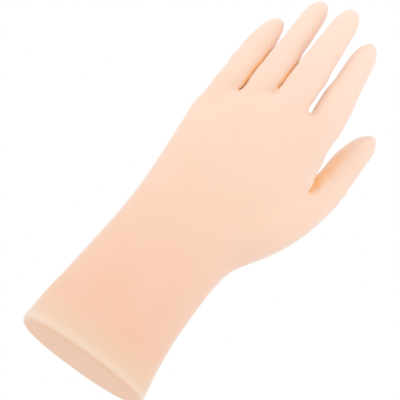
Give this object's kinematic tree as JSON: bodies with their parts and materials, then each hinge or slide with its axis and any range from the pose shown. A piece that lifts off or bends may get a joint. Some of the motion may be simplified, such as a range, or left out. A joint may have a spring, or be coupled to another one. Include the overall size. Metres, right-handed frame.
{
  "type": "silicone mannequin hand",
  "caption": "Posable left mannequin hand with a short forearm: soft skin-toned silicone over a hinged inner armature, standing on its flat cut end.",
  "frame": {"origin": "centre of the flat cut end of the forearm", "axes": "+Z from the cut end to the fingertips, +X towards the thumb, -Y is the back of the hand"},
  "size_m": [0.0981, 0.0524, 0.2582],
  "materials": {
    "silicone_skin": "matte skin-toned silicone",
    "silicone_fold": "matte skin-toned silicone",
    "nylon": "moulded natural nylon",
    "pin_steel": "ground steel",
    "rod_steel": "drawn steel"
  },
  "bodies": {
    "palm": {"palm_skin": "silicone_skin", "palm_frame": "nylon", "wrist_rod": "rod_steel", "index_knuckle_pin": "pin_steel", "index_knuckle_fold": "silicone_fold", "middle_knuckle_pin": "pin_steel", "middle_knuckle_fold": "silicone_fold", "ring_knuckle_pin": "pin_steel", "ring_knuckle_fold": "silicone_fold", "little_knuckle_pin": "pin_steel", "little_knuckle_fold": "silicone_fold", "thumb_knuckle_pin": "pin_steel", "thumb_knuckle_fold": "silicone_fold"},
    "index_proximal": {"index_proximal_link": "nylon", "index_proximal_skin": "silicone_skin", "index_middle_pin": "pin_steel", "index_middle_fold": "silicone_fold"},
    "index_middle": {"index_middle_link": "nylon", "index_middle_skin": "silicone_skin", "index_tip_pin": "pin_steel", "index_tip_fold": "silicone_fold"},
    "index_tip": {"index_tip_link": "nylon", "index_tip_skin": "silicone_skin"},
    "middle_proximal": {"middle_proximal_link": "nylon", "middle_proximal_skin": "silicone_skin", "middle_middle_pin": "pin_steel", "middle_middle_fold": "silicone_fold"},
    "middle_middle": {"middle_middle_link": "nylon", "middle_middle_skin": "silicone_skin", "middle_tip_pin": "pin_steel", "middle_tip_fold": "silicone_fold"},
    "middle_tip": {"middle_tip_link": "nylon", "middle_tip_skin": "silicone_skin"},
    "ring_proximal": {"ring_proximal_link": "nylon", "ring_proximal_skin": "silicone_skin", "ring_middle_pin": "pin_steel", "ring_middle_fold": "silicone_fold"},
    "ring_middle": {"ring_middle_link": "nylon", "ring_middle_skin": "silicone_skin", "ring_tip_pin": "pin_steel", "ring_tip_fold": "silicone_fold"},
    "ring_tip": {"ring_tip_link": "nylon", "ring_tip_skin": "silicone_skin"},
    "little_proximal": {"little_proximal_link": "nylon", "little_proximal_skin": "silicone_skin", "little_middle_pin": "pin_steel", "little_middle_fold": "silicone_fold"},
    "little_middle": {"little_middle_link": "nylon", "little_middle_skin": "silicone_skin", "little_tip_pin": "pin_steel", "little_tip_fold": "silicone_fold"},
    "little_tip": {"little_tip_link": "nylon", "little_tip_skin": "silicone_skin"},
    "thumb_proximal": {"thumb_proximal_link": "nylon", "thumb_proximal_skin": "silicone_skin", "thumb_tip_pin": "pin_steel", "thumb_tip_fold": "silicone_fold"},
    "thumb_tip": {"thumb_tip_link": "nylon", "thumb_tip_skin": "silicone_skin"}
  },
  "joints": [
    {"name": "index_knuckle_joint", "type": "hinge", "parent": "palm", "child": "index_proximal", "pos_m": [0.02521, -0.00651, 0.20034], "axis": [-0.9936, 0, -0.1132], "range_deg": [-6, 55], "deforming": ["index_knuckle_fold"]},
    {"name": "index_middle_joint", "type": "hinge", "parent": "index_proximal", "child": "index_middle", "pos_m": [0.0232, -0.0037, 0.218], "axis": [-0.9936, 0, -0.1132], "range_deg": [-6, 70], "deforming": ["index_middle_fold"]},
    {"name": "index_tip_joint", "type": "hinge", "parent": "index_middle", "child": "index_tip", "pos_m": [0.02129, 0.00113, 0.23472], "axis": [-0.9936, 0, -0.1132], "range_deg": [-6, 40], "deforming": ["index_tip_fold"]},
    {"name": "middle_knuckle_joint", "type": "hinge", "parent": "palm", "child": "middle_proximal", "pos_m": [0.00361, -0.00901, 0.19938], "axis": [-0.9991, 0, -0.0419], "range_deg": [-6, 55], "deforming": ["middle_knuckle_fold"]},
    {"name": "middle_middle_joint", "type": "hinge", "parent": "middle_proximal", "child": "middle_middle", "pos_m": [0.00272, -0.00565, 0.22059], "axis": [-0.9991, 0, -0.0419], "range_deg": [-6, 70], "deforming": ["middle_middle_fold"]},
    {"name": "middle_tip_joint", "type": "hinge", "parent": "middle_middle", "child": "middle_tip", "pos_m": [0.00185, 0.00028, 0.24124], "axis": [-0.9991, 0, -0.0419], "range_deg": [-6, 40], "deforming": ["middle_tip_fold"]},
    {"name": "ring_knuckle_joint", "type": "hinge", "parent": "palm", "child": "ring_proximal", "pos_m": [-0.0142, -0.00459, 0.19427], "axis": [-0.9999, 0, -0.014], "range_deg": [-6, 55], "deforming": ["ring_knuckle_fold"]},
    {"name": "ring_middle_joint", "type": "hinge", "parent": "ring_proximal", "child": "ring_middle", "pos_m": [-0.01448, -0.00068, 0.21439], "axis": [-0.9999, 0, -0.014], "range_deg": [-6, 70], "deforming": ["ring_middle_fold"]},
    {"name": "ring_tip_joint", "type": "hinge", "parent": "ring_middle", "child": "ring_tip", "pos_m": [-0.01475, 0.00566, 0.23389], "axis": [-0.9999, 0, -0.014], "range_deg": [-6, 40], "deforming": ["ring_tip_fold"]},
    {"name": "little_knuckle_joint", "type": "hinge", "parent": "palm", "child": "little_proximal", "pos_m": [-0.03002, -0.00037, 0.18537], "axis": [-0.9999, 0, 0.014], "range_deg": [-6, 55], "deforming": ["little_knuckle_fold"]},
    {"name": "little_middle_joint", "type": "hinge", "parent": "little_proximal", "child": "little_middle", "pos_m": [-0.02981, 0.00285, 0.20053], "axis": [-0.9999, 0, 0.014], "range_deg": [-6, 70], "deforming": ["little_middle_fold"]},
    {"name": "little_tip_joint", "type": "hinge", "parent": "little_middle", "child": "little_tip", "pos_m": [-0.02961, 0.00773, 0.21471], "axis": [-0.9999, 0, 0.014], "range_deg": [-6, 40], "deforming": ["little_tip_fold"]},
    {"name": "thumb_knuckle_joint", "type": "hinge", "parent": "palm", "child": "thumb_proximal", "pos_m": [0.04956, 0.01337, 0.16878], "axis": [-0.9028, -0.422, 0.0821], "range_deg": [-6, 40], "deforming": ["thumb_knuckle_fold"]},
    {"name": "thumb_tip_joint", "type": "hinge", "parent": "thumb_proximal", "child": "thumb_tip", "pos_m": [0.05042, 0.01531, 0.18816], "axis": [-0.9028, -0.422, 0.0821], "range_deg": [-6, 50], "deforming": ["thumb_tip_fold"]}
  ]
}
